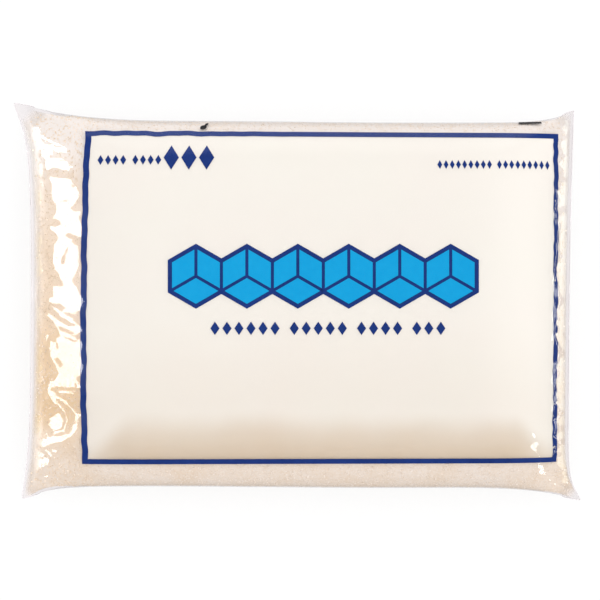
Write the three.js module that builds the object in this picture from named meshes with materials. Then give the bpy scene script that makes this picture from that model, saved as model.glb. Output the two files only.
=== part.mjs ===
// A one kilogram bag of granulated sugar, lying on its back.
// The bag is a tube of clear film, filled, pressed flat and welded shut at its left and right ends.
// Units are millimetres. +X runs along the bag to the right, +Y across it and +Z up through its face.
import * as THREE from "three";
import { mergeVertices } from "three/addons/utils/BufferGeometryUtils.js";

// Driving dimensions
const BODY_LENGTH = 228; // from weld to weld, along the middle of the bag
const BODY_WIDTH = 155.5; // across the filled middle
const BODY_HEIGHT = 42; // from the table to the top of the face
const SEAM_HEIGHT = 15; // height of both welds, and of the widest line of the sides
const WELD_WIDTH = 3; // the flat fin at each end
const WELD_THICKNESS = 1.2; // both films of a fin, with the slack between them
const WELD_LIP = 0.9; // the outermost strip of a fin, where the two films come together

// How the bag fills out: a run is the length over which a film climbs from a weld to its full height.
// The sugar has settled to the right, so the face climbs faster there.
const FACE_RUNS = { left: 56, right: 36 };
const BACK_RUNS = { left: 38, right: 34 };
const RUN_POWER = 2.6; // how early in its run a face climbs
const RUN_ROUNDING = 0.8; // under 1 makes the climb steeper at the weld
const FACE_FULLNESS = { flat: 3.4, round: 1.65 }; // the face's profile across the bag
const BACK_FULLNESS = { flat: 5, round: 2 };
const REST_PRESS = 1.06; // the back is pressed this far past the table, and so lies flat on it

// The corners of the welds are pulled out into ears. A reach is how far an ear stands out past the body,
// by the end or by the side, and a fade is the length over which it dies away. Lift raises the tip.
const EARS = {
  topLeft: { endReach: 8.2, endFade: 13, sideReach: 8.4, sideFade: 20, lift: 3.5 },
  bottomLeft: { endReach: 4.6, endFade: 19, sideReach: 6.2, sideFade: 8, lift: -2.5 },
  topRight: { endReach: 2.5, endFade: 62, sideReach: 6.2, sideFade: 6.5, lift: 2 },
  bottomRight: { endReach: 8.4, endFade: 5, sideReach: 6.5, sideFade: 13, lift: -3 },
};
const EAR_BLUNTNESS = 2.2; // radius by which the tip of an ear is rounded off
const EAR_DEPTH = 12; // how far an ear's pull along the bag is felt inside the weld
const EAR_TIP = 16; // how far a lifted tip is felt

// A shallow furrow along the lower side, with the edge of the bag rolled out beyond it.
const FURROW = { fromSide: 12.5, depth: 2.6, width: 4.2, endFade: 30 };

// Gathers run in from each weld, where the flat seam is wider than the filled body.
const LEFT_GATHER = { height: 1.25, reach: 34, slant: 0.16 };
const RIGHT_GATHER = { height: 0.6, reach: 16, slant: -0.1 };
const BACK_GATHER_SHARE = 0.4; // the back is pulled smoother than the face
const GATHER_WAVES = [
  { pitch: 23, share: 0.5, phase: 0, drift: 0 },
  { pitch: 13.5, share: 0.32, phase: 1.3, drift: 0.055 },
  { pitch: 9.2, share: 0.18, phase: 2.6, drift: 0.11 },
]; // each wave's spacing, its share of the height, and how its phase drifts with each millimetre inwards

// Steps of the surface
const STEPS_AROUND = 88; // an even number: half for the face and half for the back
const STEPS_ALONG = 50;
const END_CROWDING = 0.42; // 0 spaces the steps evenly along the bag, and 0.5 crowds them to the ends
const SIDE_CROWDING = 0.33; // the same across the bag, towards its sides
const MERGE_DISTANCE = 1e-3; // points of the two films this close are one point

const clamp01 = (value) => THREE.MathUtils.clamp(value, 0, 1);
const fade = (distance, length) => Math.exp(-Math.max(distance, 0) / length);
const earFade = (distance, length) => fade(Math.hypot(distance, EAR_BLUNTNESS), length);

// A number from -1 to 1, moved towards the nearer end of that range.
const crowd = (value, amount) => value * (1 + amount * (1 - value * value));

// How far a face has climbed, from 0 on the weld to 1 at its full height.
function climb(fromEnd, run) {
  const share = clamp01((fromEnd - WELD_WIDTH) / run);
  return Math.pow(1 - Math.pow(1 - share, RUN_POWER), RUN_ROUNDING);
}

// Height of a face across the bag, from 1 at the middle to 0 at the side.
function profile(across, fullness) {
  return Math.pow(1 - Math.pow(Math.min(Math.abs(across), 1), fullness.flat), 1 / fullness.round);
}

// Half of the bag's width at a place along it, on the upper (+Y) or the lower side.
function halfWidth(fromLeft, fromRight, upper) {
  const left = upper ? EARS.topLeft : EARS.bottomLeft;
  const right = upper ? EARS.topRight : EARS.bottomRight;
  return (
    BODY_WIDTH / 2 +
    left.sideReach * earFade(fromLeft, left.sideFade) +
    right.sideReach * earFade(fromRight, right.sideFade)
  );
}

// How the two ears of one end move a point of it: outwards along the bag, and up.
function earPull(upperEar, lowerEar, fromEnd, fromUpperSide, fromLowerSide) {
  const depth = fade(fromEnd, EAR_DEPTH);
  const pull = (ear, fromSide) => ear.endReach * earFade(fromSide, ear.endFade);
  const lift = (ear, fromSide) => ear.lift * fade(Math.hypot(fromSide, fromEnd), EAR_TIP);
  return {
    out: depth * (pull(upperEar, fromUpperSide) + pull(lowerEar, fromLowerSide)),
    up: lift(upperEar, fromUpperSide) + lift(lowerEar, fromLowerSide),
  };
}

// Height of the gathers of one end: waves of three pitches across the bag, strongest a little way in.
function gathers(y, fromEnd, gather) {
  const window = Math.sin(Math.PI * Math.sqrt(clamp01((fromEnd - WELD_WIDTH) / gather.reach)));
  const bent = y + gather.slant * fromEnd * Math.sin(y / GATHER_WAVES[0].pitch);
  const height = (wave) =>
    wave.share * Math.sin((2 * Math.PI * bent) / wave.pitch + wave.phase + wave.drift * fromEnd);
  return gather.height * window * GATHER_WAVES.reduce((sum, wave) => sum + height(wave), 0);
}

// A point of the film: along runs from -1 at the left to 1, and across from -1 at the lower side to 1.
function filmPoint(along, across, onFace) {
  const straightX = (crowd(along, END_CROWDING) * BODY_LENGTH) / 2;
  const fromLeft = straightX + BODY_LENGTH / 2;
  const fromRight = BODY_LENGTH / 2 - straightX;
  const upperHalf = halfWidth(fromLeft, fromRight, true);
  const lowerHalf = halfWidth(fromLeft, fromRight, false);
  const place = crowd(across, SIDE_CROWDING);
  const y = place * (place > 0 ? upperHalf : lowerHalf);
  const left = earPull(EARS.topLeft, EARS.bottomLeft, fromLeft, upperHalf - y, y + lowerHalf);
  const right = earPull(EARS.topRight, EARS.bottomRight, fromRight, upperHalf - y, y + lowerHalf);

  const fullness = onFace ? FACE_FULLNESS : BACK_FULLNESS;
  const runs = onFace ? FACE_RUNS : BACK_RUNS;
  const full = (onFace ? BODY_HEIGHT - SEAM_HEIGHT : SEAM_HEIGHT * REST_PRESS) - WELD_THICKNESS / 2;
  const shape = profile(place, fullness);
  const filled = climb(fromLeft, runs.left) * climb(fromRight, runs.right);
  const lip = clamp01(Math.min(fromLeft, fromRight) / WELD_LIP);
  let swell = ((WELD_THICKNESS / 2) * lip + full * filled) * shape;
  const waves = gathers(y, fromLeft, LEFT_GATHER) + gathers(y, fromRight, RIGHT_GATHER);
  swell += waves * shape * (onFace ? 1 : BACK_GATHER_SHARE);
  if (onFace) {
    const fromFurrow = (y + lowerHalf - FURROW.fromSide) / FURROW.width;
    const inside = 1 - fade(Math.min(fromLeft, fromRight), FURROW.endFade);
    swell -= FURROW.depth * Math.exp(-fromFurrow * fromFurrow) * inside;
  }
  const seam = SEAM_HEIGHT + left.up + right.up;
  const z = onFace ? seam + swell : seam - swell;
  return new THREE.Vector3(straightX - left.out + right.out, y, Math.max(z, 0));
}

// An open tube, each of its points then moved to its place on the film. Its ends close flat at the welds.
function makeBagGeometry() {
  const tube = new THREE.CylinderGeometry(1, 1, 2, STEPS_AROUND, STEPS_ALONG, true);
  const points = tube.getAttribute("position");
  for (let i = 0; i < points.count; i++) {
    const turn = Math.atan2(-points.getZ(i), points.getX(i)); // 0 on the upper side, positive on the face
    const across = 1 - (2 * Math.abs(turn)) / Math.PI;
    const placed = filmPoint(points.getY(i), across, turn >= 0);
    points.setXYZ(i, placed.x, placed.y, placed.z);
  }
  tube.deleteAttribute("normal");
  tube.deleteAttribute("uv");
  const closed = mergeVertices(tube, MERGE_DISTANCE);
  closed.computeVertexNormals();
  return closed;
}

// Puts the origin on the table, under the middle of the bag's box.
function centreOnTable(geometry) {
  geometry.computeBoundingBox();
  const box = geometry.boundingBox;
  geometry.translate(-(box.min.x + box.max.x) / 2, -(box.min.y + box.max.y) / 2, -box.min.z);
}

const bagGeometry = makeBagGeometry();
centreOnTable(bagGeometry);

const filledFilm = new THREE.MeshStandardMaterial({
  color: new THREE.Color().setRGB(0.88, 0.8, 0.69, THREE.SRGBColorSpace),
  roughness: 0.3,
  metalness: 0,
});
const bag = new THREE.Mesh(bagGeometry, filledFilm);
bag.name = "bag";

const sugarPacket = new THREE.Group();
sugarPacket.add(bag);

export default sugarPacket;
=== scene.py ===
"""Dresses a one kilogram bag of granulated sugar: clear film, the sugar in it and the print on its face.

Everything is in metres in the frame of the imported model: +X runs along the bag to the right, +Y across it
and +Z up through its printed face, with the origin on the table under the middle of the bag.
"""

from __future__ import annotations

import logging
import math
from collections.abc import Callable
from dataclasses import dataclass
from enum import Enum
from functools import partial
from typing import Any

import bpy
import numpy as np
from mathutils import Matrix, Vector


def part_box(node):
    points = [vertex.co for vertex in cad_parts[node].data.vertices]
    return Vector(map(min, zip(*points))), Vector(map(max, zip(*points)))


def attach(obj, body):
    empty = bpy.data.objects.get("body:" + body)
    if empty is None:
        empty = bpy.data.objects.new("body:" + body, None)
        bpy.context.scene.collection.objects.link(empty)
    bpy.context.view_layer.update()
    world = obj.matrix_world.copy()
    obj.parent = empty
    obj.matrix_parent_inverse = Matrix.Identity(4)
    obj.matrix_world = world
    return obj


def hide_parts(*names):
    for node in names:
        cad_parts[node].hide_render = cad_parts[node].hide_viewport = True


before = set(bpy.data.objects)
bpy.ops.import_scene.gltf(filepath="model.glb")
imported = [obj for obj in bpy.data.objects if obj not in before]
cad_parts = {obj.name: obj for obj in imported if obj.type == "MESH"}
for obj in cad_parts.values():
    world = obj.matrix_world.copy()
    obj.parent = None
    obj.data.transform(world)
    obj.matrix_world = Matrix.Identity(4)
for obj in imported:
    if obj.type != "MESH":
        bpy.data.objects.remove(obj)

log = logging.getLogger("sugar_packet")

MM = 0.001
BODY = "root"
BAG_NODE = "bag"
THIN_MARK = "thinness"
DULL_MARK = "dullness"
INK_GLOSS = 0.05
PLAIN_NOISE = 1.0
SOFT_NOISE = 2.0
FINE_NOISE = 3.0
TINY_AREA = 1e-12
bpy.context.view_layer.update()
BAG_LOW, BAG_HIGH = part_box(BAG_NODE)

Colour = tuple[float, float, float]
Place = tuple[float, float]
Span = tuple[float, float]
Triple = tuple[float, float, float]
Piece = bpy.types.Object
Line = Callable[[np.ndarray], np.ndarray]


class Slot(Enum):
    """The names of the material slots, one for each kind of finish."""

    SUGAR = "sugar"
    FILM = "film"
    BLUE = "blue_print"
    CYAN = "cyan_print"
    BLACK = "black_print"


class Ink(Enum):
    """The inks of the print, each with its depth under the film. The black one lies on top of it."""

    WHITE = 0.36 * MM
    BLUE = 0.22 * MM
    CYAN = 0.12 * MM
    BLACK = -0.03 * MM


class Wire:
    """One output socket of a material's nodes. Arithmetic on wires and numbers adds Math nodes."""

    def __init__(self, board: NodeBoard, socket: bpy.types.NodeSocket) -> None:
        """Holds the socket and the board that its node stands on."""
        self.board = board
        self.socket = socket

    def _math(self, operation: str, first: Wire | float, second: Wire | float) -> Wire:
        """One Math node on two values."""
        return self.board.add("ShaderNodeMath", {"operation": operation}, {0: first, 1: second})

    def __add__(self, other: Wire | float) -> Wire:
        """The sum."""
        return self._math("ADD", self, other)

    def __radd__(self, other: float) -> Wire:
        """The sum, with the number first."""
        return self._math("ADD", other, self)

    def __sub__(self, other: Wire | float) -> Wire:
        """The difference."""
        return self._math("SUBTRACT", self, other)

    def __rsub__(self, other: float) -> Wire:
        """The difference, with the number first."""
        return self._math("SUBTRACT", other, self)

    def __mul__(self, other: Wire | float) -> Wire:
        """The product."""
        return self._math("MULTIPLY", self, other)

    def __rmul__(self, other: float) -> Wire:
        """The product, with the number first."""
        return self._math("MULTIPLY", other, self)

    def __pow__(self, other: Wire | float) -> Wire:
        """The power."""
        return self._math("POWER", self, other)

    def __abs__(self) -> Wire:
        """The value without its sign."""
        return self._math("ABSOLUTE", self, 0.0)


class NodeBoard:
    """The nodes of one material, or of the world."""

    def __init__(self, owner: bpy.types.Material | bpy.types.World) -> None:
        """Clears the owner's nodes for new ones.

        Args:
            owner: The material or the world.
        """
        owner.use_nodes = True
        self.owner = owner
        self.tree = owner.node_tree
        self.tree.nodes.clear()

    @classmethod
    def of_material(cls, name: str) -> NodeBoard:
        """The board of a new material of that name."""
        return cls(bpy.data.materials.new(name))

    def add(
        self,
        kind: str,
        settings: dict[str, Any] | None = None,
        sockets: dict[str | int, Any] | None = None,
        output: str | int = 0,
    ) -> Wire:
        """Adds one node.

        Args:
            kind: The node's type.
            settings: Its properties, which are set first.
            sockets: A value or a wire for each input, by name or number.
            output: The output that is wanted, by name or number.

        Returns:
            The wire from that output.
        """
        node = self.tree.nodes.new(kind)
        for name, value in (settings or {}).items():
            setattr(node, name, value)
        for name, value in (sockets or {}).items():
            if isinstance(value, Wire):
                self.tree.links.new(value.socket, node.inputs[name])
            else:
                node.inputs[name].default_value = value
        return Wire(self, node.outputs[output])

    def place(self) -> Wire:
        """The piece's own coordinates, in metres."""
        return self.add("ShaderNodeTexCoord", output="Object")

    def mark(self, name: str) -> Wire:
        """The number that is written on the piece's vertices under that name."""
        return self.add("ShaderNodeAttribute", {"attribute_name": name}, output="Fac")

    def noise(self, place: Wire, size: float, detail: float = SOFT_NOISE) -> Wire:
        """Soft noise from 0 to 1, with features of about the given size in metres."""
        return self.add("ShaderNodeTexNoise", None, {"Vector": place, "Scale": 1 / size, "Detail": detail})

    def blend(self, share: Wire, first: Wire | Colour, second: Wire | Colour) -> Wire:
        """A colour that goes from the first to the second as the share goes from 0 to 1."""
        a, b = (colour if isinstance(colour, Wire) else (*colour, 1.0) for colour in (first, second))
        return self.add(
            "ShaderNodeMix", {"data_type": "RGBA"}, {"Factor": share, "A": a, "B": b}, output="Result"
        )

    def bump(self, height: Wire, depth: float, strength: float) -> Wire:
        """A normal that is tilted by a height from 0 to 1, with a depth in metres."""
        return self.add(
            "ShaderNodeBump", None, {"Height": height, "Distance": depth, "Strength": strength}
        )

    def ramp(self, value: Wire, start: float, end: float, low: float = 0.0, high: float = 1.0) -> Wire:
        """Goes smoothly from low to high as a value goes from start to end."""
        return self.add(
            "ShaderNodeMapRange",
            {"interpolation_type": "SMOOTHSTEP"},
            {"Value": value, "From Min": start, "From Max": end, "To Min": low, "To Max": high},
        )

    @staticmethod
    def spread(share: Wire, span: Span) -> Wire:
        """Goes evenly from one end of a span to the other as a share goes from 0 to 1."""
        return share * (span[1] - span[0]) + span[0]

    def axes(self, vector: Wire) -> tuple[Wire, Wire, Wire]:
        """The three parts of a vector.

        Args:
            vector: The vector.

        Returns:
            The wires of X, Y and Z.
        """
        first = self.add("ShaderNodeSeparateXYZ", None, {"Vector": vector}, output="X")
        outputs = first.socket.node.outputs
        return first, Wire(self, outputs["Y"]), Wire(self, outputs["Z"])

    def show(self, shader: Wire) -> bpy.types.Material | bpy.types.World:
        """Puts the shader on the owner's output.

        Args:
            shader: The finished shader.

        Returns:
            The material or the world.
        """
        kind = "World" if isinstance(self.owner, bpy.types.World) else "Material"
        node = self.tree.nodes.new("ShaderNodeOutput" + kind)
        self.tree.links.new(shader.socket, node.inputs["Surface"])
        return self.owner

    def principled(self, sockets: dict[str, Any]) -> bpy.types.Material:
        """Puts a Principled shader with these inputs on the material's output."""
        return self.show(self.add("ShaderNodeBsdfPrincipled", None, sockets))


@dataclass(frozen=True)
class SugarFinish:
    """Packed sugar crystals, each with its own shade.

    Painted shade gives it a deeper tan at its left end, where the slack film shades it, and painted light
    and shade make it paler towards its upper side and darker towards its lower side. It thins out to single
    crystals towards the welds and the corners.
    """

    pale: Colour = (0.82, 0.785, 0.735)
    shaded_tone: Colour = (0.69, 0.495, 0.27)
    grain: float = 0.55 * MM
    drift: float = 16 * MM
    relief: float = 0.045 * MM
    pale_end: float = -78 * MM
    shade_end: float = -98 * MM
    low_side: float = -75 * MM
    high_side: float = 65 * MM
    shade_middle: float = -34 * MM
    shade_reach: Span = (36 * MM, 8 * MM)
    shade_share: float = 0.3
    wide_shade_reach: Span = (72 * MM, 40 * MM)
    wide_shade_share: float = 0.5
    side_light_shares: Span = (0.66, 0.95)
    drift_share: float = 0.5
    grain_share: float = 0.2
    roughness: Span = (0.45, 0.8)
    relief_strength: float = 0.4

    def material(self) -> bpy.types.Material:
        """Makes the material.

        Returns:
            The material.
        """
        board = NodeBoard.of_material("packed_sugar")
        place = board.place()
        grains = {"Vector": place, "Scale": 1 / self.grain}
        edge = board.add("ShaderNodeTexVoronoi", None, grains, output="Distance")
        tone = board.add("ShaderNodeTexVoronoi", None, grains, output="Color")
        own = board.add("ShaderNodeSeparateColor", None, {"Color": tone}, output="Red")
        x, y, _ = board.axes(place)
        middle = board.ramp(abs(y - self.shade_middle), *self.shade_reach)
        wide = board.ramp(abs(y), *self.wide_shade_reach)
        # Painted shade: a deeper tan towards the left end, strongest along the middle, where the slack film
        # shades the sugar.
        depth = board.ramp(x, self.pale_end, self.shade_end)
        depth = depth * (middle * self.shade_share + wide * self.wide_shade_share)
        # Painted light and shade: the sugar is paler towards the upper side and darker towards the lower
        # side.
        fair = board.ramp(y, self.low_side, self.high_side, *self.side_light_shares)
        drift = (board.noise(place, self.drift) - 0.5) * self.drift_share
        share = fair - depth + drift + (own - 0.5) * self.grain_share
        return board.principled(
            {
                "Base Color": board.blend(share, self.shaded_tone, self.pale),
                "Roughness": board.spread(own, self.roughness),
                "Alpha": 1 - board.mark(THIN_MARK),
                "Normal": board.bump(1 - edge, self.relief, self.relief_strength),
            }
        )


@dataclass(frozen=True)
class GrainFinish:
    """Single crystals that lie against the film and catch the light on their faces."""

    clear: Colour = (0.90, 0.84, 0.76)
    amber: Colour = (0.80, 0.70, 0.58)
    shaded_tone: Colour = (0.82, 0.66, 0.46)
    pale_end: float = -78 * MM
    shade_end: float = -98 * MM
    shade_share: float = 0.6
    patch: float = 1.6 * MM
    contrast: float = 1.8
    roughness: Span = (0.2, 0.5)
    refraction: float = 1.54

    def material(self) -> bpy.types.Material:
        """Makes the material.

        Returns:
            The material.
        """
        board = NodeBoard.of_material("sugar_grain")
        place = board.place()
        tone = board.noise(place, self.patch, PLAIN_NOISE)
        # Painted shade: the crystals too are darkened towards the left end, like the sugar under the slack
        # film.
        depth = board.ramp(board.axes(place)[0], self.pale_end, self.shade_end) * self.shade_share
        fair = board.blend((tone - 0.5) * self.contrast + 0.5, self.amber, self.clear)
        return board.principled(
            {
                "Base Color": board.blend(depth, fair, self.shaded_tone),
                "Roughness": board.spread(tone, self.roughness),
                "IOR": self.refraction,
            }
        )


@dataclass(frozen=True)
class FilmFinish:
    """Thin clear polyethylene, which lets light straight through and mirrors more of it the more it slants.

    The heat of the weld has dulled it along the left end.
    """

    tint: Colour = (0.945, 0.925, 0.930)
    mirrored: float = 0.035
    roughness: float = 0.07
    dulled: float = 0.5
    ripple: float = 5 * MM
    ripple_depth: float = 0.12 * MM
    ripple_strength: float = 0.5
    slant_blend: float = 0.5
    slant_power: float = 5.0

    def material(self) -> bpy.types.Material:
        """Makes the material.

        Returns:
            The material.
        """
        board = NodeBoard.of_material("clear_film")
        ripples = board.noise(board.place(), self.ripple, FINE_NOISE)
        normal = board.bump(ripples, self.ripple_depth, self.ripple_strength)
        slant = board.add("ShaderNodeLayerWeight", None, {"Blend": self.slant_blend}, output="Facing")
        mirror = self.mirrored + (1 - self.mirrored) * slant**self.slant_power
        clear = board.add("ShaderNodeBsdfTransparent", None, {"Color": (*self.tint, 1.0)})
        rough = self.roughness + board.mark(DULL_MARK) * (self.dulled - self.roughness)
        gloss = board.add("ShaderNodeBsdfGlossy", None, {"Roughness": rough, "Normal": normal})
        return board.show(board.add("ShaderNodeMixShader", None, {0: mirror, 1: clear, 2: gloss}))


@dataclass(frozen=True)
class InkFinish:
    """Ink on the film, a little uneven where it was rolled on."""

    name: str
    full: Colour
    thin: Colour
    mottle: float = 2.5 * MM
    streak: float = 26 * MM
    unevenness: float = 0.6
    roughness: Span = (0.3, 0.5)

    def material(self) -> bpy.types.Material:
        """Makes the material.

        Returns:
            The material.
        """
        board = NodeBoard.of_material(self.name)
        place = board.place()
        uneven = board.noise(place, self.mottle, FINE_NOISE) * self.unevenness
        uneven = uneven + board.noise(place, self.streak) * self.unevenness
        return board.principled(
            {
                "Base Color": board.blend(uneven, self.full, self.thin),
                "Roughness": board.spread(uneven, self.roughness),
                "Specular IOR Level": INK_GLOSS,
            }
        )


@dataclass(frozen=True)
class PanelFinish:
    """Thin cream-white ink under the border and the print.

    Painted shade turns it to a sandy tone along its lower side, where the face slopes away from the light,
    and painted light makes it a little more opaque, so brighter, towards the right.
    """

    full: Colour = (0.958, 0.935, 0.868)
    thin: Colour = (0.950, 0.960, 0.880)
    panel_shade_tone: Colour = (0.760, 0.640, 0.470)
    cover: float = 0.80
    lit_right_cover: float = 0.07
    lit_right_from: Span = (55 * MM, 105 * MM)
    low_cover: float = 0.5
    shade_shares: Triple = (0.1, 0.36, 0.54)
    low_shade: Span = (0.0, -42 * MM)
    low_step: Span = (-44 * MM, -56 * MM)
    low_slope: Span = (-48 * MM, -70 * MM)
    sway: float = 5 * MM
    sway_size: float = 48 * MM
    left_drop: float = 15 * MM
    left_span: Span = (-70 * MM, -91 * MM)
    right_drop: float = 11 * MM
    right_span: Span = (90 * MM, 106 * MM)
    mottle: float = 38 * MM
    roughness: Span = (0.4, 0.6)

    def material(self) -> bpy.types.Material:
        """Makes the material.

        Returns:
            The material.
        """
        board = NodeBoard.of_material("white_ink")
        place = board.place()
        x, y, _ = board.axes(place)
        # Painted shade: along the lower side the panel is blended to a sandy tone and lets more sugar show,
        # with a wavy edge that drops at both ends.
        level = y + (board.noise(place, self.sway_size) - 0.5) * (2 * self.sway)
        level = level + board.ramp(x, *self.left_span, 0.0, self.left_drop)
        level = level + board.ramp(x, *self.right_span, 0.0, self.right_drop)
        shade, step, slope = self.shade_shares
        low = board.ramp(level, *self.low_shade) * shade + board.ramp(level, *self.low_step) * step
        low = low + board.ramp(level, *self.low_slope) * slope
        # Painted light: more cover towards the right paints that side brighter.
        lit_right = board.ramp(x, *self.lit_right_from, 0.0, self.lit_right_cover)
        uneven = board.noise(place, self.mottle, PLAIN_NOISE)
        white = board.blend(uneven, self.full, self.thin)
        return board.principled(
            {
                "Base Color": board.blend(low, white, self.panel_shade_tone),
                "Roughness": board.spread(uneven, self.roughness),
                "Specular IOR Level": INK_GLOSS,
                "Alpha": self.cover + lit_right - low * (self.cover - self.low_cover),
            }
        )


@dataclass(frozen=True)
class WeldFinish:
    """The melted edge of a weld: the same film, thicker and cloudy."""

    cloud: Colour = (0.86, 0.81, 0.83)
    cover: float = 0.4
    patch: float = 3 * MM
    patch_cover: float = 0.3
    roughness: Span = (0.15, 0.45)

    def material(self) -> bpy.types.Material:
        """Makes the material.

        Returns:
            The material.
        """
        board = NodeBoard.of_material("weld_bead")
        uneven = board.noise(board.place(), self.patch)
        return board.principled(
            {
                "Base Color": (*self.cloud, 1.0),
                "Roughness": board.spread(uneven, self.roughness),
                "Alpha": (uneven - 0.5) * self.patch_cover + self.cover,
            }
        )


BLUE_INK = InkFinish("blue_ink", (0.004, 0.020, 0.120), (0.012, 0.045, 0.240))
CYAN_INK = InkFinish("cyan_ink", (0.0, 0.310, 0.650), (0.006, 0.385, 0.720))
BLACK_INK = InkFinish("black_ink", (0.012, 0.012, 0.014), (0.03, 0.03, 0.034))


def smooth_step(values: np.ndarray, start: float, end: float) -> np.ndarray:
    """Goes smoothly from 0 at start to 1 at end, whichever of the two is larger."""
    share = np.clip((values - start) / (end - start), 0, 1)
    return share * share * (3 - 2 * share)


@dataclass(frozen=True)
class Belly:
    """A swell of one long side of the bag: its middle, its reach each way and how far it stands out."""

    middle: float
    reach: float
    fullness: float

    def swell(self, along: np.ndarray) -> np.ndarray:
        """How far the side is pushed out at each place along the bag."""
        return self.fullness * smooth_step(np.abs(along - self.middle), self.reach, 0.0)


UPPER_BELLY = Belly(-28 * MM, 72 * MM, 0.55 * MM)
LOWER_BELLY = Belly(34 * MM, 90 * MM, 0.65 * MM)
FULL_SWELL_FROM = 70 * MM


@dataclass(frozen=True)
class Crumple:
    """Crinkles where a vertex group says: their size along each axis, their travel, and if sharp."""

    group: str
    grain: Triple
    travel: float
    sharp: bool = False


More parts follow.
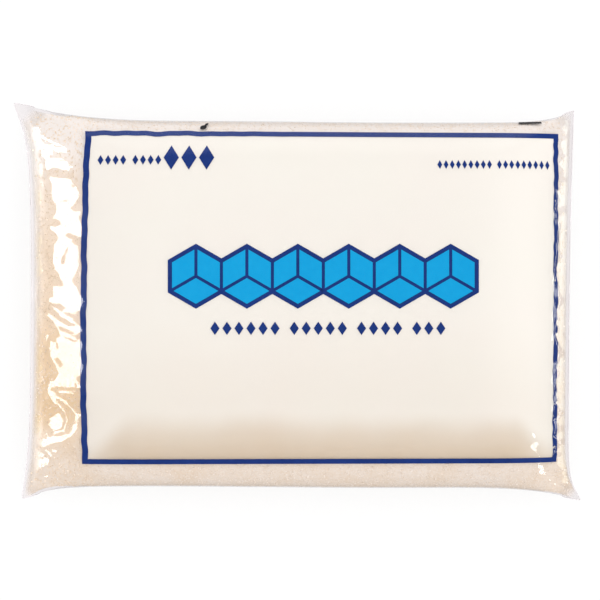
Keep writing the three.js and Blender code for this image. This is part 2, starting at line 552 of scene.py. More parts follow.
class Bench:
    """The few moves that every piece is made with."""

    weight_steps: int = 24
    strip_pitch: float = 4 * MM
    merge: float = 0.01 * MM

    @staticmethod
    def pick(piece: Piece) -> Piece:
        """Selects one piece alone, in object mode.

        Args:
            piece: The piece.

        Returns:
            The same piece.
        """
        if bpy.context.object is not None and bpy.context.object.mode != "OBJECT":
            bpy.ops.object.mode_set(mode="OBJECT")
        bpy.ops.object.select_all(action="DESELECT")
        piece.select_set(True)
        bpy.context.view_layer.objects.active = piece
        return piece

    @classmethod
    def edit(cls, piece: Piece, mode: str = "FACE", select: bool = True) -> None:
        """Opens a piece in edit mode.

        Args:
            piece: The piece.
            mode: What is selected: vertices, edges or faces.
            select: True to select everything, False for nothing.
        """
        cls.pick(piece)
        bpy.ops.object.mode_set(mode="EDIT")
        bpy.ops.mesh.select_mode(type=mode)
        bpy.ops.mesh.select_all(action="SELECT" if select else "DESELECT")

    @staticmethod
    def close() -> None:
        """Leaves edit mode."""
        bpy.ops.object.mode_set(mode="OBJECT")

    @classmethod
    def modify(cls, piece: Piece, kind: str, **settings: Any) -> None:
        """Puts a modifier on a piece and applies it.

        Args:
            piece: The piece.
            kind: The modifier's type.
            **settings: The modifier's properties.
        """
        cls.pick(piece)
        modifier = piece.modifiers.new(kind.lower(), kind)
        for name, value in settings.items():
            setattr(modifier, name, value)
        bpy.ops.object.modifier_apply(modifier=modifier.name)

    @staticmethod
    def points(piece: Piece) -> np.ndarray:
        """The vertices of a piece, one row each.

        Args:
            piece: The piece.

        Returns:
            An array with three columns.
        """
        flat = np.empty(len(piece.data.vertices) * 3, np.float32)
        piece.data.vertices.foreach_get("co", flat)
        return flat.reshape(-1, 3).astype(float)

    @staticmethod
    def normals(piece: Piece) -> np.ndarray:
        """The vertex normals of a piece, one row each.

        Args:
            piece: The piece.

        Returns:
            An array with three columns.
        """
        flat = np.empty(len(piece.data.vertices) * 3, np.float32)
        piece.data.vertex_normals.foreach_get("vector", flat)
        return flat.reshape(-1, 3).astype(float)

    @staticmethod
    def put(piece: Piece, points: np.ndarray) -> None:
        """Moves the vertices of a piece."""
        piece.data.vertices.foreach_set("co", points.astype(np.float32).ravel())
        piece.data.update()

    @staticmethod
    def mark(piece: Piece, name: str, values: np.ndarray) -> None:
        """Writes one number on each vertex of a piece, for its material to read."""
        layer = piece.data.attributes.new(name, "FLOAT", "POINT")
        layer.data.foreach_set("value", values.astype(np.float32))

    @staticmethod
    def weld_lines(points: np.ndarray) -> tuple[Line, Line]:
        """Where the left and the right weld end along X, as functions of the place across the bag.

        Args:
            points: The vertices of the bag.

        Returns:
            The two functions, which take and give arrays in metres.
        """
        places = np.arange(BAG_LOW.y, BAG_HIGH.y, Bench.strip_pitch) + Bench.strip_pitch / 2
        strips = [points[np.abs(points[:, 1] - place) <= Bench.strip_pitch, 0] for place in places]
        left = [strip.min() for strip in strips]
        right = [strip.max() for strip in strips]
        return partial(np.interp, xp=places, fp=left), partial(np.interp, xp=places, fp=right)

    @staticmethod
    def weigh(piece: Piece, name: str, weights: np.ndarray) -> None:
        """Makes a vertex group.

        Args:
            piece: The piece.
            name: The group's name.
            weights: A weight from 0 to 1 for each vertex.
        """
        group = piece.vertex_groups.new(name=name)
        steps = Bench.weight_steps
        level = np.rint(np.clip(weights, 0, 1) * steps).astype(int)
        for step in range(1, steps + 1):
            chosen = np.flatnonzero(level == step).tolist()
            if chosen:
                group.add(chosen, step / steps, "REPLACE")

    @classmethod
    def crumple(cls, piece: Piece, crumple: Crumple) -> None:
        """Pushes a piece in and out by a cloud texture.

        Args:
            piece: The piece.
            crumple: What its crinkles are like, and where.
        """
        bpy.ops.object.empty_add(location=(0.0, 0.0, 0.0))
        ruler = bpy.context.object
        ruler.scale = crumple.grain
        bpy.context.view_layer.update()
        clouds = bpy.data.textures.new("crumple", "CLOUDS")
        clouds.noise_scale = 1.0
        clouds.noise_type = "HARD_NOISE" if crumple.sharp else "SOFT_NOISE"
        clouds.noise_depth = 1 if crumple.sharp else 2
        cls.modify(
            piece,
            "DISPLACE",
            texture=clouds,
            texture_coords="OBJECT",
            texture_coords_object=ruler,
            vertex_group=crumple.group,
            strength=crumple.travel,
            mid_level=0.5,
        )
        bpy.data.objects.remove(ruler)
        bpy.data.textures.remove(clouds)

    @classmethod
    def copy_bag(cls, name: str) -> Piece:
        """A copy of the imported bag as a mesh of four-sided faces, with its long sides swollen a little.

        Args:
            name: The copy's name.

        Returns:
            The copy.
        """
        piece = bpy.data.objects.new(name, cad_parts[BAG_NODE].data.copy())
        piece.data.name = name
        piece.data.materials.clear()
        bpy.context.scene.collection.objects.link(piece)
        cls.edit(piece)
        bpy.ops.mesh.remove_doubles(threshold=cls.merge)
        bpy.ops.mesh.tris_convert_to_quads(face_threshold=math.pi, shape_threshold=math.pi)
        cls.close()
        points = cls.points(piece)
        x, y, _ = points.T.copy()
        swell = np.where(y > 0, UPPER_BELLY.swell(x), -LOWER_BELLY.swell(x))
        points[:, 1] += swell * smooth_step(np.abs(y), 0.0, FULL_SWELL_FROM)
        cls.put(piece, points)
        return piece

    @classmethod
    def dress(cls, piece: Piece, material: bpy.types.Material, slot: Slot) -> Piece:
        """Gives a piece its finish and its body.

        Args:
            piece: The piece.
            material: Its finish.
            slot: Not used.

        Returns:
            The piece.
        """
        cls.pick(piece)
        piece.data.materials.clear()
        piece.data.materials.append(material)
        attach(piece, BODY)
        log.info("%s: %d faces", piece.name, len(piece.data.polygons))
        return piece


@dataclass(frozen=True)
class Fold:
    """A ridge in the film: a path in millimetres from the left weld and up from the bag's middle line."""

    path: tuple[Place, ...]
    height: float
    width: float
    sharpness: float = 1.3
    end_share: float = 0.06
    end_power: float = 0.6

    def rise(self, along: np.ndarray, across: np.ndarray) -> np.ndarray:
        """Height of the ridge at each point.

        Args:
            along: Distance from the left weld, in millimetres.
            across: Distance up from the middle line, in millimetres.

        Returns:
            The rise in millimetres.
        """
        spans = list(zip(self.path, self.path[1:]))
        lengths = [math.dist(a, b) for a, b in spans]
        total = sum(lengths)
        best = np.full(along.shape, np.inf)
        share = np.zeros(along.shape)
        before = 0.0
        for (a, b), length in zip(spans, lengths):
            step = ((along - a[0]) * (b[0] - a[0]) + (across - a[1]) * (b[1] - a[1])) / length**2
            step = np.clip(step, 0, 1)
            gap = np.hypot(along - a[0] - step * (b[0] - a[0]), across - a[1] - step * (b[1] - a[1]))
            nearer = gap < best
            best = np.where(nearer, gap, best)
            share = np.where(nearer, (before + step * length) / total, share)
            before += length
        crest = np.clip(1 - best / self.width, 0, 1)
        share = np.clip(share, self.end_share, 1 - self.end_share)
        return self.height * crest**self.sharpness * np.sin(math.pi * share) ** self.end_power


@dataclass
class SealedFilm:
    """The clear bag itself: one tube of film, welded at both ends, folded and crinkled where it is slack.

    A turn is a span of the normal's upward part, over which the film counts as facing up.
    """

    finish: FilmFinish = FilmFinish()
    levels: int = 2
    sharp: float = math.radians(100)
    smooth: float = math.radians(75)
    middle_strip: float = 30 * MM
    left_slack: Span = (30 * MM, 10 * MM)
    right_slack: Span = (15 * MM, 4 * MM)
    right_ear: float = 5 * MM
    fold_turn: Span = (0.05, 0.3)
    slack_turn: Span = (-0.1, 0.3)
    weld: float = 3 * MM
    dull_reach: Span = (8 * MM, 4 * MM)
    bead: float = 0.22 * MM
    bead_rounding: int = 1
    folds: tuple[Fold, ...] = (
        Fold(((4, 71), (11, 67), (22, 63.5), (27, 62)), 1.0, 2.6),
        Fold(((4, 57), (10, 60.5), (22, 60), (28, 59)), 1.1, 2.8),
        Fold(((3, 49), (9, 53), (17, 52), (24, 50)), 0.8, 3.0),
        Fold(((7, 46), (12, 41), (19, 42), (27, 44)), 0.7, 3.4),
        Fold(((4, 36), (10, 31), (16, 26), (22, 25)), 0.8, 4.0),
        Fold(((5, 20), (10, 16), (15, 9), (21, 5)), 0.8, 4.0),
        Fold(((3, 3), (16, -6), (22, -9), (28, -11)), 1.2, 3.2),
        Fold(((4, 0), (9, -7), (14, -12), (24, -16.5)), 1.1, 2.4),
        Fold(((6, -16), (10, -23), (14, -30)), 1.1, 3.0),
        Fold(((4, -36), (10, -33.5), (15, -30)), 0.9, 2.2),
        Fold(((5, -37), (13, -37.6), (22, -38), (30, -38)), 1.3, 2.6),
        Fold(((5, -36), (11, -41.5), (16, -46), (17, -50), (15, -54), (11, -55), (8, -52)), 1.1, 2.2),
        Fold(((2, -58), (6, -62.5), (12, -67), (17, -69)), 1.0, 2.4),
        Fold(((208, -53), (211, -54), (215, -56.5)), 0.5, 1.7),
        Fold(((213, -58), (216, -60), (220, -62)), 0.5, 1.7),
    )
    crumples: tuple[Crumple, ...] = (
        Crumple("left_end", (26 * MM, 9 * MM, 14 * MM), 1.5 * MM, sharp=True),
        Crumple("right_end", (13 * MM, 6 * MM, 9 * MM), 1.1 * MM, sharp=True),
        Crumple("ends", (7 * MM, 4.5 * MM, 6 * MM), 0.35 * MM, sharp=True),
        Crumple("face", (34 * MM, 22 * MM, 22 * MM), 0.3 * MM),
    )

    def build(self) -> Piece:
        """Makes the film.

        Returns:
            The film.
        """
        film = Bench.copy_bag("film")
        self._refine(film)
        self._fold(film)
        self._crinkle(film)
        self._beads(film)
        points = Bench.points(film)
        left, _ = Bench.weld_lines(points)
        Bench.mark(film, DULL_MARK, smooth_step(points[:, 0] - left(points[:, 1]), *self.dull_reach))
        Bench.pick(film)
        bpy.ops.object.shade_smooth_by_angle(angle=self.smooth)
        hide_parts(BAG_NODE)
        return Bench.dress(film, self.finish.material(), Slot.FILM)

    def _beads(self, film: Piece) -> None:
        """Makes the melted bead along the cut edge of each weld, swept along a copy of that edge.

        Args:
            film: The film.
        """
        Bench.edit(film, "EDGE", select=False)
        bpy.ops.mesh.edges_select_sharp(sharpness=self.sharp)
        bpy.ops.mesh.duplicate()
        bpy.ops.mesh.separate(type="SELECTED")
        Bench.close()
        beads = next(piece for piece in bpy.context.selected_objects if piece is not film)
        beads.name = "weld_beads"
        Bench.pick(beads)
        bpy.ops.object.convert(target="CURVE")
        beads.data.bevel_depth = self.bead
        beads.data.bevel_resolution = self.bead_rounding
        beads.data.use_fill_caps = True
        bpy.ops.object.convert(target="MESH")
        bpy.ops.object.shade_smooth()
        Bench.dress(beads, WeldFinish().material(), Slot.FILM)

    def _refine(self, film: Piece) -> None:
        """Rounds the film between its points, and keeps the edges of the welds sharp.

        Args:
            film: The film.
        """
        Bench.edit(film, "EDGE", select=False)
        bpy.ops.mesh.edges_select_sharp(sharpness=self.sharp)
        bpy.ops.transform.edge_crease(value=1.0)
        Bench.close()
        Bench.modify(film, "SUBSURF", levels=self.levels, render_levels=self.levels)

    def _fold(self, film: Piece) -> None:
        """Raises the folds that run in from both welds, on the face of the bag.

        Args:
            film: The film.
        """
        points = Bench.points(film)
        normals = Bench.normals(film)
        left = self.left_weld(points)
        along = (points[:, 0] - left) / MM
        across = points[:, 1] / MM
        rise = np.zeros(len(points))
        for fold in self.folds:
            rise = np.maximum(rise, fold.rise(along, across))
        rise *= smooth_step(normals[:, 2], *self.fold_turn)
        Bench.put(film, points + normals * (rise * MM)[:, None])

    def left_weld(self, points: np.ndarray) -> float:
        """Where the left weld ends along X, at the middle of the bag."""
        middle = np.abs(points[:, 1]) < self.middle_strip
        return float(points[middle, 0].min())

    def _crinkle(self, film: Piece) -> None:
        """Crumples the film at its ends and corners, and ripples it faintly all over its face.

        Args:
            film: The film.
        """
        points = Bench.points(film)
        up = smooth_step(Bench.normals(film)[:, 2], *self.slack_turn)
        from_left = points[:, 0] - self.left_weld(points)
        from_right = points[:, 0].max() - self.right_ear - points[:, 0]
        left = smooth_step(from_left, *self.left_slack) * smooth_step(from_left, 0, self.weld * 2)
        right = smooth_step(from_right, *self.right_slack) * smooth_step(from_right, 0, self.weld)
        Bench.weigh(film, "left_end", left * up)
        Bench.weigh(film, "right_end", right * up)
        Bench.weigh(film, "ends", np.maximum(left, right))
        Bench.weigh(film, "face", up)
        for crumple in self.crumples:
            Bench.crumple(film, crumple)
        film.vertex_groups.clear()


@dataclass
class SugarFill:
    """The sugar, packed against the film and a little short of the welds and the corners."""

    finish: SugarFinish = SugarFinish()
    levels: int = 1
    side_gap: float = 0.22 * MM
    face_gap: float = 1.1 * MM
    weld: float = 3 * MM
    end_gap: float = 1.2 * MM
    end_squeeze: float = 0.12
    left_slack: float = 26 * MM
    slack_gap: float = 1.3 * MM
    right_slack: float = 18 * MM
    right_gap: float = 0.7 * MM
    left_thin: Span = (5.2 * MM, 0.6 * MM)
    right_thin: Span = (3.2 * MM, 0.6 * MM)
    corner_thin: float = 8 * MM
    merge: float = 0.02 * MM
    lumps: Crumple = Crumple("heap", (3.5 * MM,) * 3, 0.16 * MM)
    corner_cuts: tuple[tuple[int, int, float], ...] = (
        (-1, 1, 6.0 * MM),
        (-1, -1, 0.8 * MM),
        (1, 1, 1.5 * MM),
        (1, -1, 2.4 * MM),
    )

    def build(self) -> Piece:
        """Makes the sugar.

        Returns:
            The sugar.
        """
        sugar = Bench.copy_bag("sugar")
        points = Bench.points(sugar)
        corners = self._corners(points)
        welds = Bench.weld_lines(points)
        self._settle(sugar, welds)
        self._trim(sugar, corners)
        Bench.modify(sugar, "SUBSURF", levels=self.levels, render_levels=self.levels)
        Bench.weigh(sugar, self.lumps.group, np.ones(len(sugar.data.vertices)))
        Bench.crumple(sugar, self.lumps)
        sugar.vertex_groups.clear()
        Bench.mark(sugar, THIN_MARK, self._thinness(Bench.points(sugar), welds, corners))
        bpy.ops.object.shade_smooth()
        return Bench.dress(sugar, self.finish.material(), Slot.SUGAR)

    def _settle(self, sugar: Piece, welds: tuple[Line, Line]) -> None:
        """Draws the sugar in from the welds and from the film, most of all under the slack at both ends.

        Args:
            sugar: The sugar.
            welds: Where the welds end.
        """
        points = Bench.points(sugar)
        normals = Bench.normals(sugar)
        x, y, _ = points.T.copy()
        left, right = (line(y) for line in welds)
        from_end = np.minimum(x - left, right - x)
        slack = self.slack_gap * smooth_step(x - left, self.left_slack, self.left_slack / 2)
        slack += self.right_gap * smooth_step(right - x, self.right_slack, self.right_slack / 2)
        gap = self.side_gap + self.face_gap * np.abs(normals[:, 2]) + slack * (normals[:, 2] > 0)
        points -= normals * (gap * smooth_step(from_end, self.weld, 3 * self.weld))[:, None]
        points[:, 0] -= np.sign(x) * np.maximum(self.end_gap - (1 - self.end_squeeze) * from_end, 0)
        Bench.put(sugar, points)

    def _thinness(
        self, points: np.ndarray, welds: tuple[Line, Line], corners: list[tuple[Vector, Vector]]
    ) -> np.ndarray:
        """How far the sugar has thinned out at each point, from 0 where it is packed to 1 where it ends.

        Args:
            points: The vertices of the sugar.
            welds: Where the welds end.
            corners: The cuts across the corners.

        Returns:
            One number for each point.
        """
        x, y, _ = points.T
        left, right = (line(y) for line in welds)
        thin = np.maximum(smooth_step(x - left, *self.left_thin), smooth_step(right - x, *self.right_thin))
        for point, outward in corners:
            beyond = (points - np.array(point)) @ np.array(outward)
            thin = np.maximum(thin, smooth_step(beyond, -self.corner_thin, 0.0))
        return thin

    def _corners(self, points: np.ndarray) -> list[tuple[Vector, Vector]]:
        """A cut across each corner of the bag.

        Args:
            points: The vertices of the bag.

        Returns:
            A point and the direction that is cut away, for each corner.
        """
        cuts = []
        for end, side, depth in self.corner_cuts:
            outward = Vector((end, side, 0)).normalized()
            tip = Vector(points[np.argmax(points @ np.array(outward))])
            cuts.append((tip - outward * depth, outward))
        return cuts

    def _trim(self, sugar: Piece, cuts: list[tuple[Vector, Vector]]) -> None:
        """Cuts the sugar off short of the corners of the bag.

        Args:
            sugar: The sugar.
            cuts: The cuts across the corners.
        """
        Bench.edit(sugar)
        for point, outward in cuts:
            bpy.ops.mesh.select_all(action="SELECT")
            bpy.ops.mesh.bisect(plane_co=point, plane_no=outward, use_fill=True, clear_outer=True)
        bpy.ops.mesh.select_all(action="SELECT")
        bpy.ops.mesh.remove_doubles(threshold=self.merge)
        bpy.ops.mesh.normals_make_consistent(inside=False)
        Bench.close()


@dataclass
class LooseGrains:
    """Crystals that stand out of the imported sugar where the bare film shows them.

    A share says how densely they lie on the bare face, under the print, on the sides or on the back. A turn
    is the upward part of the normal at which the face or the back begins.
    """

    finish: GrainFinish = GrainFinish()
    count: int = 7000
    small: float = 0.4 * MM
    large: float = 0.75 * MM
    flatness: float = 0.7
    proud: float = -0.13 * MM
    seed: int = 4
    bare_share: float = 1.0
    printed_share: float = 0.01
    side_share: float = 0.22
    back_share: float = 0.02
    face_turn: float = 0.1
    back_turn: float = -0.5
    thin_power: int = 4

    def build(self, sugar: Piece, printed: tuple[Place, Place]) -> None:
        """Scatters the crystals.

        Args:
            sugar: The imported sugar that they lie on.
            printed: The lowest and highest corner of the printed panel, which hides the sugar under it.
        """
        draw = np.random.default_rng(self.seed)
        spots, normals = self._spots(sugar, printed, draw)
        corners = np.array([(x, y, z) for x in (-1, 1) for y in (-1, 1) for z in (-1, 1)]) / 2
        sides = [(0, 1, 3, 2), (4, 6, 7, 5), (0, 4, 5, 1), (2, 3, 7, 6), (0, 2, 6, 4), (1, 5, 7, 3)]
        faces = np.array(sides)
        size = draw.uniform(self.small, self.large, (self.count, 1))
        size = size * draw.uniform(self.flatness, 1.0, (self.count, 3))
        turns = self._turns(draw)
        shapes = np.einsum("nij,nkj->nki", turns, corners[None] * size[:, None])
        places = spots + normals * self.proud
        points = (shapes + places[:, None]).reshape(-1, 3)
        loops = (faces[None] + len(corners) * np.arange(self.count)[:, None, None]).reshape(-1, 4)
        mesh = bpy.data.meshes.new("sugar_grains")
        mesh.from_pydata(points.tolist(), [], loops.tolist())
        grains = bpy.data.objects.new("sugar_grains", mesh)
        bpy.context.scene.collection.objects.link(grains)
        Bench.dress(grains, self.finish.material(), Slot.SUGAR)

    def _turns(self, draw: np.random.Generator) -> np.ndarray:
        """A random turn for each crystal.

        Args:
            draw: The source of chance.

        Returns:
            A rotation matrix for each crystal.
        """
        turns = draw.normal(size=(4, self.count))
        a, b, c, d = turns / np.linalg.norm(turns, axis=0)
        rows = [
            [1 - 2 * (c * c + d * d), 2 * (b * c - a * d), 2 * (b * d + a * c)],
            [2 * (b * c + a * d), 1 - 2 * (b * b + d * d), 2 * (c * d - a * b)],
            [2 * (b * d - a * c), 2 * (c * d + a * b), 1 - 2 * (b * b + c * c)],
        ]
        return np.moveaxis(np.array(rows), -1, 0)

    def _spots(
        self, sugar: Piece, printed: tuple[Place, Place], draw: np.random.Generator
    ) -> tuple[np.ndarray, np.ndarray]:
        """Places for the crystals on the sugar, most of them on the bare part of its face.

        Args:
            sugar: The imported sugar.
            printed: The corners of the printed panel.
            draw: The source of chance.

        Returns:
            The places and the normals there, one row for each crystal.
        """
        sugar.data.calc_loop_triangles()
        points = Bench.points(sugar)
        triangles = np.array([tuple(t.vertices) for t in sugar.data.loop_triangles])
        a, b, c = (points[triangles[:, i]] for i in range(3))
        cross = np.cross(b - a, c - a)
        area = np.linalg.norm(cross, axis=1)
        normals = cross / np.maximum(area, TINY_AREA)[:, None]
        middle = (a + b + c) / 3
        (low_x, low_y), (high_x, high_y) = printed
        inside = (middle[:, 0] > low_x) & (middle[:, 0] < high_x)
        inside &= (middle[:, 1] > low_y) & (middle[:, 1] < high_y)
        on_face = np.where(inside, self.printed_share, self.bare_share)
        wanted = np.where(normals[:, 2] > self.face_turn, on_face, self.side_share)
        wanted = np.where(normals[:, 2] < self.back_turn, self.back_share, wanted)
        thin = np.empty(len(points), np.float32)
        sugar.data.attributes[THIN_MARK].data.foreach_get("value", thin)
        wanted *= (1 - thin[triangles].mean(axis=1)) ** self.thin_power
        share = area * wanted
        chosen = draw.choice(len(area), self.count, p=share / share.sum())
        u, v = draw.random((2, self.count, 1))
        flip = u + v > 1
        u, v = np.where(flip, 1 - u, u), np.where(flip, 1 - v, v)
        spots = a[chosen] + u * (b - a)[chosen] + v * (c - a)[chosen]
        return spots, normals[chosen]


@dataclass(frozen=True)
class LozengeRow:
    """A row of lozenges in millimetres: its left end, the counts of its groups, and their size and pitch."""

    start: Place
    groups: tuple[int, ...]
    size: Place
    pitch: float
    gap: float = 0.6

    def places(self) -> list[Place]:
        """The middle of each lozenge.

        Returns:
            The places in millimetres, from left to right.
        """
        x, y = self.start
        places = []
        for count in self.groups:
            for _ in range(count):
                places.append((x + self.size[0] / 2, y))
                x += self.pitch
            x += self.pitch * self.gap
        return places


@dataclass
class FacePrint:
    """The print on the face: a white panel in a blue border, a band of cubes, rows of lozenges and marks.

    Corners and places are in millimetres in the bag's frame, as they lie on the face.
    """

    corners: tuple[Place, ...] = ((-90.9, -68.3), (109.8, -67.7), (110.3, 71.2), (-89.6, 72.3))
    line: float = 2.15 * MM
    left_line: float = 2.6 * MM
    bow: float = 0.7 * MM
    sways: Triple = (0.3 * MM, 0.35 * MM, 0.45 * MM)
    left_pitches: Triple = (31 * MM, 13 * MM, 7.7 * MM)
    right_pitches: Triple = (23 * MM, 9 * MM, 5.3 * MM)
    top_pitches: Triple = (27 * MM, 17 * MM, 9 * MM)
    sway_zone: Span = (0.8, 1.0)
    top_sway_zone: Span = (0.5, 0.1)
    step: float = 1.5 * MM
    start_height: float = 20 * MM
    first_inset: float = 0.1
    edge_slip: float = 1e-4
    strip_cuts: int = 170
    rung_cuts: int = 2
    ground_cuts: int = 4
    cube_cuts: int = 5
    band_middle: Place = (10.6, 10.8)
    cubes: int = 6
    cube_pitch: float = 21.2 * MM
    cube_outline: float = 1.3 * MM
    hub_reach: float = 0.1 * MM
    rows: tuple[LozengeRow, ...] = (
        LozengeRow((-84.0, 59.6), (4, 4), (2.5, 4.2), 3.2),
        LozengeRow((-56.2, 60.6), (3,), (6.4, 10.4), 7.4),
        LozengeRow((58.4, 57.6), (9, 9), (2.0, 3.8), 2.6),
        LozengeRow((-36.4, -10.9), (6, 5, 4, 3), (3.8, 5.6), 5.0),
    )
    lozenge_cells: int = 6
    drops: tuple[tuple[Place, Place, float], ...] = (
        ((-39.9, 73.8), (2.9, 1.9), 15.0),
        ((-38.6, 75.1), (1.9, 1.0), 35.0),
    )
    drop_sides: int = 14
    bar: tuple[Place, Place] = ((98.4, 76.0), (9.6, 0.8))
    bar_cells: tuple[int, int] = (24, 4)

    def build(self, film: Piece) -> None:
        """Makes all of the print.

        Args:
            film: The film that it is printed on.
        """
        self._panel(film)
        self._border(film)
        self._cube_band(film)
        self._lozenges(film)
        self._marks(film)

    def box(self) -> tuple[Place, Place]:
        """The lowest and highest corner of the panel, in metres."""
        spots = np.array(self.corners) * MM
        return tuple(spots.min(axis=0)), tuple(spots.max(axis=0))

    def _spread(self, sheet: Piece) -> None:
        """Moves a flat sheet onto the four corners, with its left side bowed out.

        Args:
            sheet: A sheet that is two units square.
        """
        points = Bench.points(sheet)
        u = (points[:, 0:1] + 1) / 2
        v = (points[:, 1:2] + 1) / 2
        low_left, low_right, high_right, high_left = (np.array(corner) * MM for corner in self.corners)
        flat = (1 - v) * ((1 - u) * low_left + u * low_right)
        flat = flat + v * ((1 - u) * high_left + u * high_right)
        points[:, :2] = flat
        points[:, 0:1] -= self.bow * (1 - u) * 4 * v * (1 - v)
        near_left, near_right, near_top = (smooth_step(side, *self.sway_zone) for side in (1 - u, u, v))
        near_top *= smooth_step(u, *self.top_sway_zone)
        left_sway, right_sway, top_sway = self.sways
        points[:, 0:1] += near_left * left_sway * self._waves(flat[:, 1:2], self.left_pitches)
        points[:, 0:1] += near_right * right_sway * self._waves(flat[:, 1:2], self.right_pitches)
        points[:, 1:2] += near_top * top_sway * self._waves(flat[:, 0:1], self.top_pitches)
        Bench.put(sheet, points)

    @staticmethod
    def _waves(places: np.ndarray, pitches: Triple) -> np.ndarray:
        """Waves of three pitches, by which the slack film carries the border line sideways."""
        waves = [np.sin(2 * math.pi * places / pitch + index) for index, pitch in enumerate(pitches)]
        return sum(waves) / len(waves)

    def _lay(self, sheet: Piece, film: Piece, ink: Ink) -> None:
        """Drops a flat sheet onto the film from above.

        Args:
            sheet: The sheet.
            film: The film.
            ink: The ink, which says how deep it lies.
        """
        Bench.pick(sheet)
        points = Bench.points(sheet)
        points[:, 2] = BAG_HIGH.z + self.start_height
        Bench.put(sheet, points)
        Bench.modify(
            sheet,
            "SHRINKWRAP",
            target=film,
            wrap_method="PROJECT",
            use_project_z=True,
            use_negative_direction=True,
            use_positive_direction=False,
            offset=-ink.value,
        )
        bpy.ops.object.shade_smooth()

    def _panel(self, film: Piece) -> None:
        """Makes the thin white field inside the border.

        Args:
            film: The film that it is printed on.
        """
        (low_x, low_y), (high_x, high_y) = self.box()
        cells = (round((high_x - low_x) / self.step), round((high_y - low_y) / self.step))
        bpy.ops.mesh.primitive_grid_add(x_subdivisions=cells[0], y_subdivisions=cells[1], size=2)
        panel = bpy.context.object
        panel.name = "white_panel"
        points = Bench.points(panel)
        points[:, 0] *= 1 - self.line / (high_x - low_x)
        points[:, 1] *= 1 - self.line / (high_y - low_y)
        Bench.put(panel, points)
        self._spread(panel)
        self._lay(panel, film, Ink.WHITE)
        Bench.dress(panel, PanelFinish().material(), Slot.FILM)

    def _border(self, film: Piece) -> None:
        """Makes the blue line round the panel: a frame of strips, cut fine enough to lie on the folds.

        Args:
            film: The film that it is printed on.
        """
        bpy.ops.mesh.primitive_plane_add(size=2)
        border = bpy.context.object
        border.name = "border_line"
        (low_x, low_y), (high_x, high_y) = self.box()
        Bench.edit(border)
        bpy.ops.mesh.inset(thickness=self.first_inset)
        bpy.ops.mesh.delete(type="FACE")
        Bench.close()
        points = Bench.points(border)
        inner = np.abs(points[:, 0]) < 1 - self.first_inset / 2
        lines = np.where(points[inner, 0] < 0, self.left_line, self.line)
        points[inner, 0] = np.sign(points[inner, 0]) * (1 - 2 * lines / (high_x - low_x))
        points[inner, 1] = np.sign(points[inner, 1]) * (1 - 2 * self.line / (high_y - low_y))
        Bench.put(border, points)
        self._cut(border, self.strip_cuts, rungs=False)
        self._cut(border, self.rung_cuts, rungs=True)
        self._spread(border)
        self._lay(border, film, Ink.BLUE)
        Bench.dress(border, BLUE_INK.material(), Slot.BLUE)

    def _cut(self, border: Piece, cuts: int, rungs: bool) -> None:
        """Subdivides some of the frame's edges.

        Args:
            border: The frame.
            cuts: How many cuts each edge gets.
            rungs: True for the edges that join its outer side to its inner one, False for all the others.
        """
        Bench.edit(border, "EDGE", select=False)
        Bench.close()
        points = Bench.points(border)
        ring = np.abs(points).max(axis=1) > 1 - self.edge_slip
        for edge in border.data.edges:
            ends = [bool(ring[i]) for i in edge.vertices]
            edge.select = (ends[0] != ends[1]) == rungs
        bpy.ops.object.mode_set(mode="EDIT")
        bpy.ops.mesh.subdivide(number_cuts=cuts)
        Bench.close()

    def _cube_band(self, film: Piece) -> None:
        """Makes a row of cubes, each a hexagon of three lozenges: light blue faces on a dark blue ground.

        Args:
            film: The film that it is printed on.
        """
        radius = self.cube_pitch / math.sqrt(3)
        ground = self._hexagons("cube_outlines", radius + self.cube_outline)
        Bench.edit(ground)
        bpy.ops.mesh.subdivide(number_cuts=self.ground_cuts)
        Bench.close()
        self._lay(ground, film, Ink.BLUE)
        faces = self._hexagons("cube_faces", radius)
        Bench.edit(faces, "EDGE", select=False)
        Bench.close()
        middles = self._cube_middles()
        points = Bench.points(faces)
        for edge in faces.data.edges:
            edge.select = self._is_half_spoke(points, list(edge.vertices), middles)
        bpy.ops.object.mode_set(mode="EDIT")
        bpy.ops.mesh.dissolve_edges()
        bpy.ops.mesh.select_mode(type="FACE")
        bpy.ops.mesh.select_all(action="SELECT")
        bpy.ops.mesh.inset(thickness=self.cube_outline / 2, use_individual=True)
        bpy.ops.mesh.select_all(action="INVERT")
        bpy.ops.mesh.delete(type="FACE")
        bpy.ops.mesh.select_all(action="SELECT")
        bpy.ops.mesh.subdivide(number_cuts=self.cube_cuts)
        Bench.close()
        self._lay(faces, film, Ink.CYAN)
        Bench.dress(ground, BLUE_INK.material(), Slot.BLUE)
        Bench.dress(faces, CYAN_INK.material(), Slot.CYAN)

    def _cube_middles(self) -> list[Vector]:
        """The middle of each cube of the band.

        Returns:
            The places in metres, from left to right.
        """
        first = -(self.cubes - 1) / 2
        x, y = (value * MM for value in self.band_middle)
        return [Vector((x + (first + i) * self.cube_pitch, y, 0)) for i in range(self.cubes)]

    def _is_half_spoke(self, points: np.ndarray, ends: list[int], middles: list[Vector]) -> bool:
        """Finds every other spoke of a hexagon.

        Args:
            points: The vertices of the hexagons.
            ends: The two vertices of an edge.
            middles: The middles of the hexagons.

        Returns:
            True if the edge goes, so that six triangles become three lozenges.
        """
        for hub, rim in (ends, ends[::-1]):
            for middle in middles:
                if (Vector(points[hub]) - middle).length < self.hub_reach:
                    spoke = Vector(points[rim]) - middle
                    sixth = round(math.degrees(math.atan2(spoke.y, spoke.x)) / 60 - 0.5)
                    return sixth % 2 == 0
        return False

    def _hexagons(self, name: str, radius: float) -> Piece:
        """A row of hexagons that stand on their points.

        Args:
            name: The name of the piece.
            radius: The radius of each hexagon.

        Returns:
            The hexagons, each split into six triangles round its middle.
        """
        bpy.ops.mesh.primitive_circle_add(vertices=6, radius=radius, fill_type="TRIFAN")
        return self._join(name, self._copies(bpy.context.object, self._cube_middles()))

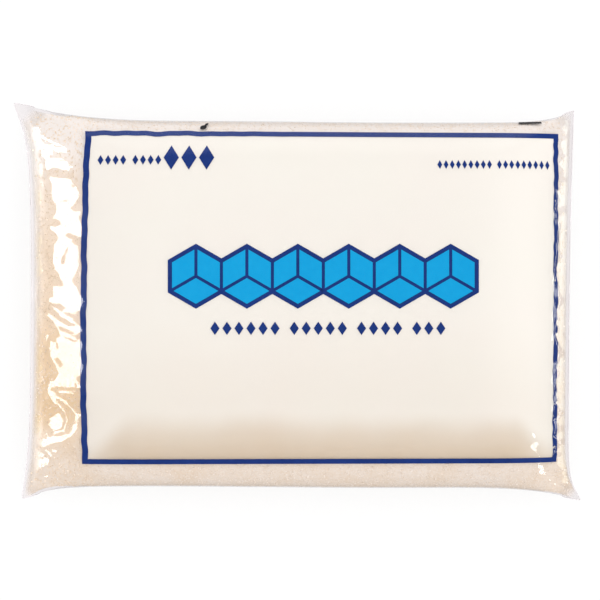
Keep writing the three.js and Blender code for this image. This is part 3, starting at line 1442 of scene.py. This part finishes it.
    @staticmethod
    def _copies(shape: Piece, places: list[Vector]) -> list[Piece]:
        """Puts a shape at its first place, and a copy of it at each of the others.

        Args:
            shape: The shape.
            places: Where it goes.

        Returns:
            The shapes, each with its own mesh.
        """
        shapes = [shape]
        for _ in places[1:]:
            copy = shape.copy()
            copy.data = shape.data.copy()
            bpy.context.scene.collection.objects.link(copy)
            shapes.append(copy)
        for piece, place in zip(shapes, places):
            piece.location = place
        return shapes

    @staticmethod
    def _join(name: str, shapes: list[Piece]) -> Piece:
        """Joins flat shapes into one piece.

        Args:
            name: The name of the piece.
            shapes: The shapes.

        Returns:
            The piece, with its place in its mesh.
        """
        piece = Bench.pick(shapes[0])
        for shape in shapes:
            shape.select_set(True)
        bpy.ops.object.join()
        bpy.ops.object.transform_apply(location=True, rotation=True, scale=True)
        piece.name = name
        return piece

    def _lozenges(self, film: Piece) -> None:
        """Makes the rows of lozenges: two at the upper left, one at the upper right and one under the cubes.

        Args:
            film: The film that it is printed on.
        """
        shapes = []
        for row in self.rows:
            places = [Vector((x * MM, y * MM, 0)) for x, y in row.places()]
            shapes += self._copies(self._lozenge(row.size), places)
        piece = self._join("lozenge_rows", shapes)
        self._lay(piece, film, Ink.BLUE)
        Bench.dress(piece, BLUE_INK.material(), Slot.BLUE)

    def _lozenge(self, size: Place) -> Piece:
        """One flat lozenge: a grid stood on its corner and squeezed.

        Args:
            size: Its width and height in millimetres.

        Returns:
            The lozenge.
        """
        cells = self.lozenge_cells
        bpy.ops.mesh.primitive_grid_add(x_subdivisions=cells, y_subdivisions=cells, size=math.sqrt(0.5))
        lozenge = bpy.context.object
        lozenge.rotation_euler.z = math.radians(45)
        bpy.ops.object.transform_apply(location=False, rotation=True, scale=False)
        lozenge.scale = (size[0] * MM, size[1] * MM, 1)
        return lozenge

    def _marks(self, film: Piece) -> None:
        """Makes the small black register marks by the upper side: a smudge of two drops, and a short bar.

        Args:
            film: The film that it is printed on.
        """
        shapes = []
        for (x, y), (width, height), turn in self.drops:
            bpy.ops.mesh.primitive_circle_add(vertices=self.drop_sides, radius=0.5, fill_type="TRIFAN")
            drop = bpy.context.object
            drop.location = (x * MM, y * MM, 0)
            drop.rotation_euler.z = math.radians(turn)
            drop.scale = (width * MM, height * MM, 1)
            shapes.append(drop)
        (x, y), (width, height) = self.bar
        cells_along, cells_across = self.bar_cells
        bpy.ops.mesh.primitive_grid_add(x_subdivisions=cells_along, y_subdivisions=cells_across, size=1)
        bar = bpy.context.object
        bar.location = (x * MM, y * MM, 0)
        bar.scale = (width * MM, height * MM, 1)
        shapes.append(bar)
        piece = self._join("register_marks", shapes)
        self._lay(piece, film, Ink.BLACK)
        Bench.dress(piece, BLACK_INK.material(), Slot.BLACK)


@dataclass(frozen=True)
class Softbox:
    """A flat light that shows only in gloss: its place, its aim, its size and its radiance."""

    name: str
    place: Triple
    aim: Triple
    width: float
    height: float
    radiance: float

    def build(self) -> None:
        """Adds the light."""
        bpy.ops.object.light_add(type="AREA", location=self.place)
        lamp = bpy.context.object
        lamp.name = self.name
        lamp.data.shape = "RECTANGLE"
        lamp.data.size = self.width
        lamp.data.size_y = self.height
        lamp.data.energy = self.radiance * math.pi * self.width * self.height
        aim = Vector(self.aim) - Vector(self.place)
        lamp.rotation_euler = aim.to_track_quat("-Z", "Y").to_euler()
        lamp.visible_camera = False
        lamp.visible_diffuse = False


@dataclass
class Studio:
    """A pale table in a light tent, softboxes at both ends of the bag, and a camera that looks down on it.

    Gloss mirrors the tent dimly, but for a bright card beyond the upper side and the floor under the table.
    """

    softboxes: tuple[Softbox, ...] = (
        Softbox("left_light", (-0.78, 0.0, 0.19), (0.0, 0.0, 0.03), 0.6, 0.36, 17.0),
        Softbox("right_light", (0.68, -0.45, 0.2), (0.0, 0.0, 0.03), 0.16, 0.08, 14.0),
        Softbox("table_light", (0.137, 0.0, 0.002), (0.137, 0.0, 1.0), 0.005, 0.15, 3.5),
    )
    tent_light: float = 1.38
    tent_lean: Span = (0.16, 0.1)
    tent_gloss: float = 0.12
    card_gloss: float = 1.3
    card_span: Span = (0.84, 0.98)
    floor_gloss: float = 0.9
    floor_span: Span = (-0.72, -0.95)
    table_size: float = 6.0
    table_glow: float = 0.765
    table_shade: float = 0.2
    view_middle: Place = (0.9 * MM, 0.9 * MM)
    view_width: float = 255 * MM
    widest_height: float = 15 * MM
    lens: float = 180.0

    def build(self) -> None:
        """Makes the table, the lights and the camera."""
        self._table()
        for softbox in self.softboxes:
            softbox.build()
        self._tent()
        self._camera()
        bpy.context.scene.view_settings.view_transform = "Standard"

    def _tent(self) -> None:
        """A white tent, a little brighter to the upper right."""
        world = bpy.data.worlds.new("light_tent")
        bpy.context.scene.world = world
        board = NodeBoard(world)
        x, y, z = board.axes(board.add("ShaderNodeTexCoord", output="Generated"))
        gloss = board.add("ShaderNodeLightPath", output="Is Glossy Ray")
        glow = x * self.tent_lean[0] + y * self.tent_lean[1] + self.tent_light
        mirrored = board.ramp(y, *self.card_span, self.tent_gloss, self.card_gloss)
        mirrored = mirrored + board.ramp(z, *self.floor_span, 0.0, self.floor_gloss)
        glow = glow * (1 - gloss) + mirrored * gloss
        white = (1.0, 1.0, 1.0, 1.0)
        board.show(board.add("ShaderNodeBackground", None, {"Color": white, "Strength": glow}))

    def _table(self) -> None:
        """A white table that is lit from below, so that it stays pale round the bag."""
        bpy.ops.mesh.primitive_plane_add(size=self.table_size)
        table = bpy.context.object
        table.name = "table"
        board = NodeBoard.of_material("white_table")
        glow = board.add("ShaderNodeEmission", None, {"Strength": self.table_glow})
        matt = board.add("ShaderNodeBsdfDiffuse", None, {"Color": (*[self.table_shade] * 3, 1.0)})
        table.data.materials.append(board.show(board.add("ShaderNodeAddShader", None, {0: glow, 1: matt})))
        table.visible_glossy = False

    def _camera(self) -> None:
        """A long lens straight above the bag, framed at the height of its widest line."""
        data = bpy.data.cameras.new("camera")
        data.lens = self.lens
        distance = self.view_width * self.lens / data.sensor_width
        camera = bpy.data.objects.new("camera", data)
        camera.location = (*self.view_middle, self.widest_height + distance)
        bpy.context.scene.collection.objects.link(camera)
        bpy.context.scene.camera = camera


def main() -> None:
    """Builds the bag from the inside out, then the studio round it."""
    logging.basicConfig(level=logging.INFO, format="%(name)s: %(message)s")
    face_print = FacePrint()
    film = SealedFilm().build()
    sugar = SugarFill().build()
    LooseGrains().build(sugar, face_print.box())
    face_print.build(film)
    Studio().build()


if __name__ == "__main__":
    main()
